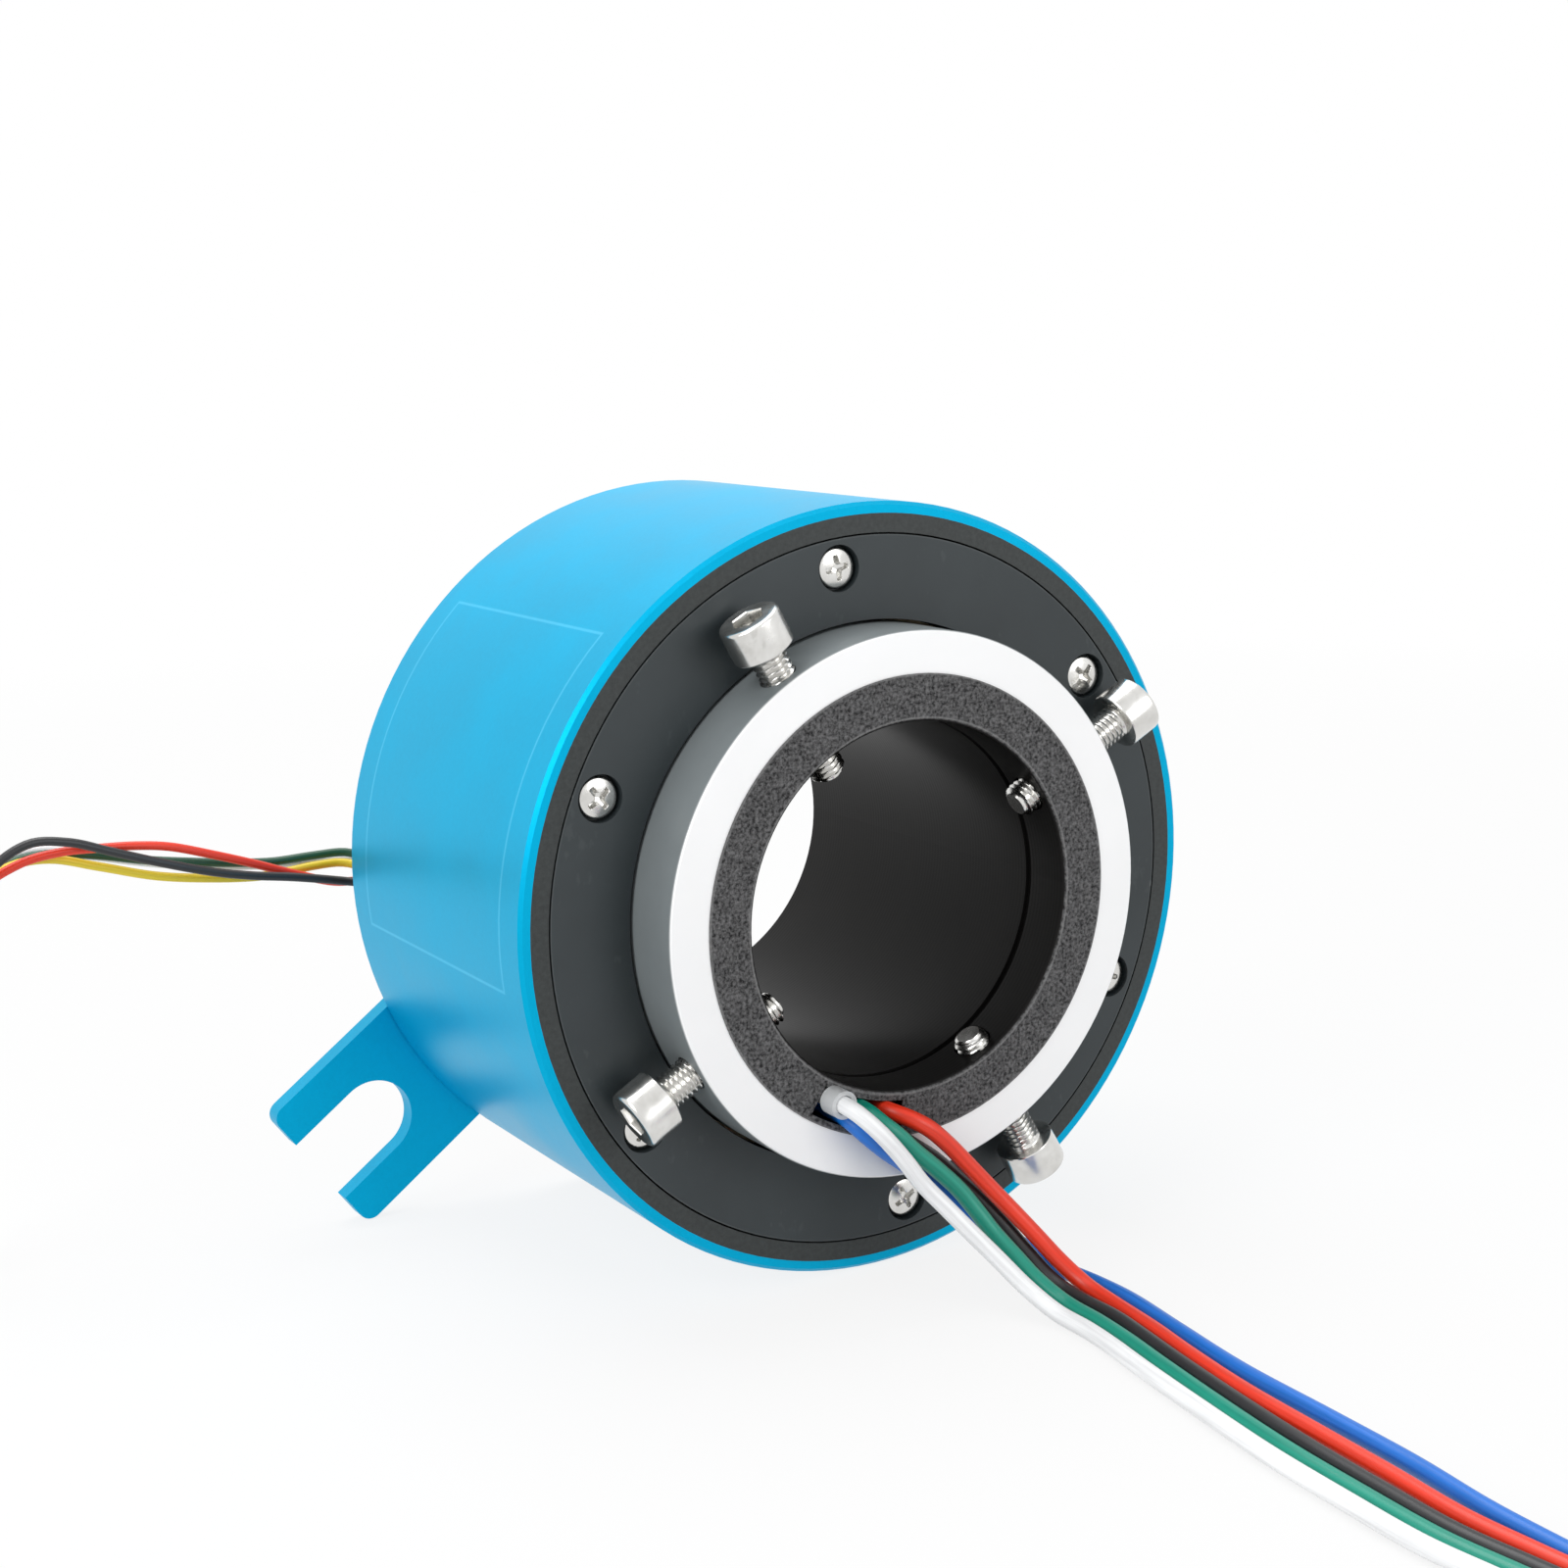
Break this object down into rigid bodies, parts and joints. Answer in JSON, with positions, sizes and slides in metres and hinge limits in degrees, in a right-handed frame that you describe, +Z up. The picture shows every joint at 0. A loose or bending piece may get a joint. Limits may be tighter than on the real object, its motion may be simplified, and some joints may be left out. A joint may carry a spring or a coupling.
{
  "type": "through-bore slip ring",
  "caption": "Through-bore slip ring with a hollow rotor, clamp collar, radial clamp screws, slotted torque tab and loose leads at both ends.",
  "frame": {"origin": "on the bore axis, in the plane of the front cover's outer face", "axes": "+Y along the bore axis towards the torque tab, +Z up as the part lies on its side, +X to the right seen from the clamp collar"},
  "size_m": [0.2168, 0.2446, 0.1081],
  "materials": {
    "blue_anodised": "satin anodised",
    "black_anodised": "satin anodised",
    "black_sleeve": "rough anodised",
    "plain_aluminium": "turned",
    "plated_steel": "bright zinc plate",
    "bearing_steel": "ground",
    "spring_steel": "black oxide",
    "cage_plastic": "moulded",
    "ring_brass": "turned",
    "brush_gold": "drawn wire",
    "insulator_plastic": "moulded",
    "black_rubber": "moulded",
    "clear_plastic": "soft and clear",
    "lead_white": "lead jacket",
    "lead_blue": "lead jacket",
    "lead_green": "lead jacket",
    "lead_dark_green": "lead jacket",
    "lead_black": "lead jacket",
    "lead_red": "lead jacket",
    "lead_yellow": "lead jacket"
  },
  "bodies": {
    "stator": {"housing": "blue_anodised", "front_flange": "black_anodised", "front_cover": "black_anodised", "cover_screws": "plated_steel", "rear_plate": "black_anodised", "tie_screws": "plated_steel", "torque_tab": "blue_anodised", "tab_screws": "plated_steel", "lead_grommet": "black_rubber", "brush_block": "insulator_plastic", "brush_1": "brush_gold", "brush_2": "brush_gold", "brush_3": "brush_gold", "brush_4": "brush_gold", "brush_5": "brush_gold", "front_bearing_outer": "bearing_steel", "rear_bearing_outer": "bearing_steel", "stator_lead_white": "lead_white", "stator_lead_red": "lead_red", "stator_lead_green": "lead_dark_green", "stator_lead_yellow": "lead_yellow", "stator_lead_black": "lead_black", "stator_lead_coil": "lead_dark_green"},
    "rotor": {"rotor_sleeve": "black_sleeve", "clamp_collar": "plain_aluminium", "retaining_ring": "spring_steel", "front_bearing_inner": "bearing_steel", "rear_bearing_inner": "bearing_steel", "lead_sleeve": "clear_plastic", "rotor_lead_coil": "lead_blue", "rotor_lead_white": "lead_white", "rotor_lead_blue": "lead_blue", "rotor_lead_green": "lead_green", "rotor_lead_black": "lead_black", "rotor_lead_red": "lead_red", "ring_1": "ring_brass", "ring_2": "ring_brass", "ring_3": "ring_brass", "ring_4": "ring_brass", "ring_5": "ring_brass", "insulator_1": "insulator_plastic", "insulator_2": "insulator_plastic", "insulator_3": "insulator_plastic", "insulator_4": "insulator_plastic", "insulator_5": "insulator_plastic", "insulator_6": "insulator_plastic"},
    "front_ball_set": {"front_bearing_balls": "bearing_steel", "front_bearing_cage": "cage_plastic"},
    "rear_ball_set": {"rear_bearing_balls": "bearing_steel", "rear_bearing_cage": "cage_plastic"},
    "clamp_screw_1": {"clamp_screw_1": "plated_steel"},
    "clamp_screw_2": {"clamp_screw_2": "plated_steel"},
    "clamp_screw_3": {"clamp_screw_3": "plated_steel"},
    "clamp_screw_4": {"clamp_screw_4": "plated_steel"}
  },
  "joints": [
    {"name": "rotor_spin", "type": "hinge", "parent": "stator", "child": "rotor", "pos_m": [0, 0, 0], "axis": [0, 1, 0], "continuous": true},
    {"name": "front_cage_spin", "type": "hinge", "parent": "stator", "child": "front_ball_set", "pos_m": [0, 0.01, 0], "axis": [0, 1, 0], "continuous": true},
    {"name": "rear_cage_spin", "type": "hinge", "parent": "stator", "child": "rear_ball_set", "pos_m": [0, 0.0466, 0], "axis": [0, 1, 0], "continuous": true},
    {"name": "clamp_screw_1_run", "type": "slide", "parent": "rotor", "child": "clamp_screw_1", "axis": [-0.4924, 0, 0.8704], "range_m": [-0.00395, 0.0039]},
    {"name": "clamp_screw_2_run", "type": "slide", "parent": "rotor", "child": "clamp_screw_2", "axis": [0.8704, 0, 0.4924], "range_m": [-0.00515, 0.0027]},
    {"name": "clamp_screw_3_run", "type": "slide", "parent": "rotor", "child": "clamp_screw_3", "axis": [0.4924, 0, -0.8704], "range_m": [-0.00605, 0.0018]},
    {"name": "clamp_screw_4_run", "type": "slide", "parent": "rotor", "child": "clamp_screw_4", "axis": [-0.8704, 0, -0.4924], "range_m": [-0.00505, 0.0028]}
  ],
  "couplings": [
    {"joint": "front_cage_spin", "follows": "rotor_spin", "ratio": 0.468},
    {"joint": "rear_cage_spin", "follows": "rotor_spin", "ratio": 0.468}
  ]
}
